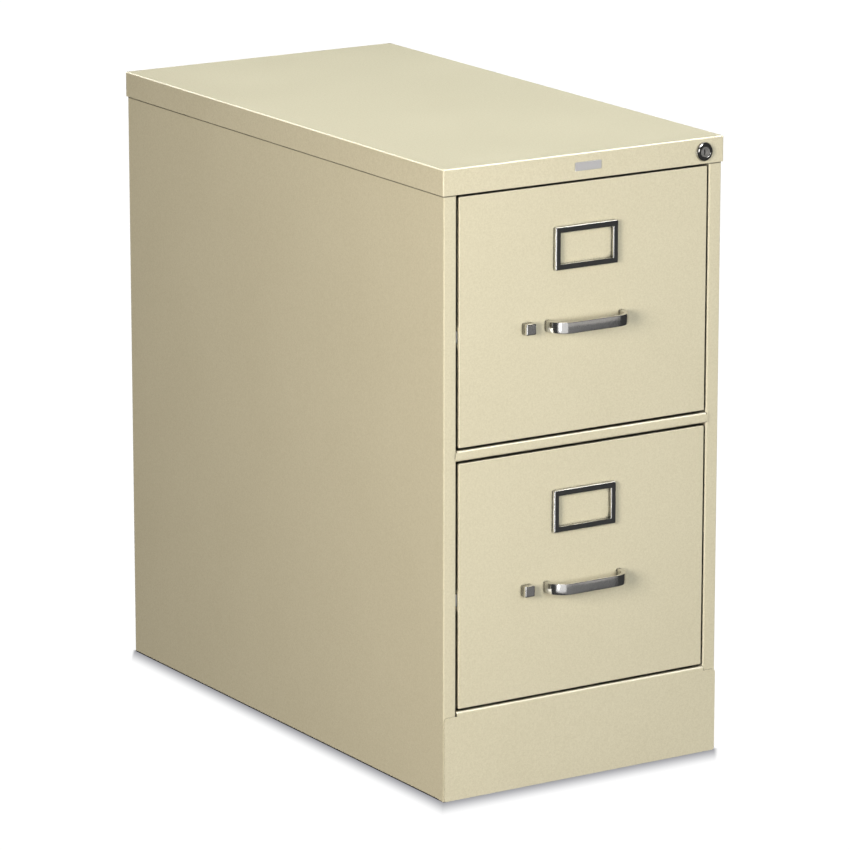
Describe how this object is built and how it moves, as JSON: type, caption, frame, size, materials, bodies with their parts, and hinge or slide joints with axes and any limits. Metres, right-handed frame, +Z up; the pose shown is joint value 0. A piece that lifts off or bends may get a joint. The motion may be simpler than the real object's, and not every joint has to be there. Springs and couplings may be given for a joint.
{
  "type": "two-drawer filing cabinet",
  "caption": "Upright steel filing cabinet with telescoping drawers, thumb latches, bow pulls, label holders and a gang lock.",
  "frame": {"origin": "on the floor, under the middle of the whole object with its pulls", "axes": "+X to the right seen from the front, +Y from front to back, +Z up"},
  "size_m": [0.381, 0.7494, 0.7366],
  "materials": {
    "putty_paint": "fine-textured satin",
    "chrome": "polished",
    "zinc_steel": "zinc plated",
    "nickel": "nickel plated"
  },
  "bodies": {
    "case": {"left_side_panel": "putty_paint", "right_side_panel": "putty_paint", "back_panel": "putty_paint", "top_cap": "putty_paint", "top_rail": "putty_paint", "middle_rail": "putty_paint", "base_front_panel": "putty_paint", "base_rear_channel": "putty_paint", "left_front_upright": "zinc_steel", "left_rear_upright": "zinc_steel", "right_front_upright": "zinc_steel", "right_rear_upright": "zinc_steel", "name_plate": "zinc_steel", "lock_barrel": "chrome", "lock_nut": "zinc_steel", "lock_bar_guide": "zinc_steel", "upper_left_cabinet_rail": "zinc_steel", "upper_right_cabinet_rail": "zinc_steel", "lower_left_cabinet_rail": "zinc_steel", "lower_right_cabinet_rail": "zinc_steel"},
    "lock_plug": {"lock_plug": "nickel", "lock_cam": "zinc_steel"},
    "lock_bar": {"lock_bar": "zinc_steel"},
    "upper_drawer": {"upper_drawer_front": "putty_paint", "upper_drawer_liner": "putty_paint", "upper_drawer_tray": "putty_paint", "upper_drawer_back": "putty_paint", "upper_handle": "chrome", "upper_label_holder": "chrome", "upper_left_drawer_rail": "zinc_steel", "upper_right_drawer_rail": "zinc_steel"},
    "upper_middle_rails": {"upper_left_middle_rail": "zinc_steel", "upper_right_middle_rail": "zinc_steel"},
    "upper_outer_cages": {"upper_left_outer_cage": "zinc_steel", "upper_right_outer_cage": "zinc_steel"},
    "upper_inner_cages": {"upper_left_inner_cage": "zinc_steel", "upper_right_inner_cage": "zinc_steel"},
    "upper_latch": {"upper_latch_button": "chrome", "upper_latch_bar": "zinc_steel"},
    "upper_follower": {"upper_follower": "zinc_steel"},
    "upper_clamp": {"upper_follower_clamp": "zinc_steel"},
    "lower_drawer": {"lower_drawer_front": "putty_paint", "lower_drawer_liner": "putty_paint", "lower_drawer_tray": "putty_paint", "lower_drawer_back": "putty_paint", "lower_handle": "chrome", "lower_label_holder": "chrome", "lower_left_drawer_rail": "zinc_steel", "lower_right_drawer_rail": "zinc_steel"},
    "lower_middle_rails": {"lower_left_middle_rail": "zinc_steel", "lower_right_middle_rail": "zinc_steel"},
    "lower_outer_cages": {"lower_left_outer_cage": "zinc_steel", "lower_right_outer_cage": "zinc_steel"},
    "lower_inner_cages": {"lower_left_inner_cage": "zinc_steel", "lower_right_inner_cage": "zinc_steel"},
    "lower_latch": {"lower_latch_button": "chrome", "lower_latch_bar": "zinc_steel"},
    "lower_follower": {"lower_follower": "zinc_steel"},
    "lower_clamp": {"lower_follower_clamp": "zinc_steel"}
  },
  "joints": [
    {"name": "lock_turn", "type": "hinge", "parent": "case", "child": "lock_plug", "pos_m": [0.1626, -0.34925, 0.7204], "axis": [0, -1, 0], "range_deg": [0, 90]},
    {"name": "lock_bar_lift", "type": "slide", "parent": "case", "child": "lock_bar", "axis": [0, 0, 1], "range_m": [0, 0.0204]},
    {"name": "upper_drawer_slide", "type": "slide", "parent": "case", "child": "upper_drawer", "axis": [0, -1, 0], "range_m": [0, 0.61]},
    {"name": "upper_middle_rails_slide", "type": "slide", "parent": "case", "child": "upper_middle_rails", "axis": [0, -1, 0], "range_m": [0, 0.30501]},
    {"name": "upper_outer_cages_slide", "type": "slide", "parent": "case", "child": "upper_outer_cages", "axis": [0, -1, 0], "range_m": [0, 0.15251]},
    {"name": "upper_inner_cages_slide", "type": "slide", "parent": "case", "child": "upper_inner_cages", "axis": [0, -1, 0], "range_m": [0, 0.45751]},
    {"name": "upper_latch_slide", "type": "slide", "parent": "upper_drawer", "child": "upper_latch", "axis": [1, 0, 0], "range_m": [0, 0.008], "stiffness_N_per_m": 250, "springref_m": -0.006},
    {"name": "upper_follower_slide", "type": "slide", "parent": "upper_drawer", "child": "upper_follower", "axis": [0, -1, 0], "range_m": [-0.03, 0.5]},
    {"name": "upper_clamp_tilt", "type": "hinge", "parent": "upper_follower", "child": "upper_clamp", "pos_m": [0, 0.23205, 0.4388], "axis": [1, 0, 0], "range_deg": [0, 15], "stiffness_Nm_per_rad": 0.4, "springref_deg": -17.19},
    {"name": "lower_drawer_slide", "type": "slide", "parent": "case", "child": "lower_drawer", "axis": [0, -1, 0], "range_m": [0, 0.61]},
    {"name": "lower_middle_rails_slide", "type": "slide", "parent": "case", "child": "lower_middle_rails", "axis": [0, -1, 0], "range_m": [0, 0.30501]},
    {"name": "lower_outer_cages_slide", "type": "slide", "parent": "case", "child": "lower_outer_cages", "axis": [0, -1, 0], "range_m": [0, 0.15251]},
    {"name": "lower_inner_cages_slide", "type": "slide", "parent": "case", "child": "lower_inner_cages", "axis": [0, -1, 0], "range_m": [0, 0.45751]},
    {"name": "lower_latch_slide", "type": "slide", "parent": "lower_drawer", "child": "lower_latch", "axis": [1, 0, 0], "range_m": [0, 0.008], "stiffness_N_per_m": 250, "springref_m": -0.006},
    {"name": "lower_follower_slide", "type": "slide", "parent": "lower_drawer", "child": "lower_follower", "axis": [0, -1, 0], "range_m": [-0.03, 0.5]},
    {"name": "lower_clamp_tilt", "type": "hinge", "parent": "lower_follower", "child": "lower_clamp", "pos_m": [0, 0.23205, 0.132], "axis": [1, 0, 0], "range_deg": [0, 15], "stiffness_Nm_per_rad": 0.4, "springref_deg": -17.19}
  ],
  "couplings": [
    {"joint": "lock_bar_lift", "follows": "lock_turn", "m_per_rad": 0.012154},
    {"joint": "upper_middle_rails_slide", "follows": "upper_drawer_slide", "ratio": 0.5},
    {"joint": "upper_outer_cages_slide", "follows": "upper_drawer_slide", "ratio": 0.25},
    {"joint": "upper_inner_cages_slide", "follows": "upper_drawer_slide", "ratio": 0.75},
    {"joint": "lower_middle_rails_slide", "follows": "lower_drawer_slide", "ratio": 0.5},
    {"joint": "lower_outer_cages_slide", "follows": "lower_drawer_slide", "ratio": 0.25},
    {"joint": "lower_inner_cages_slide", "follows": "lower_drawer_slide", "ratio": 0.75}
  ]
}
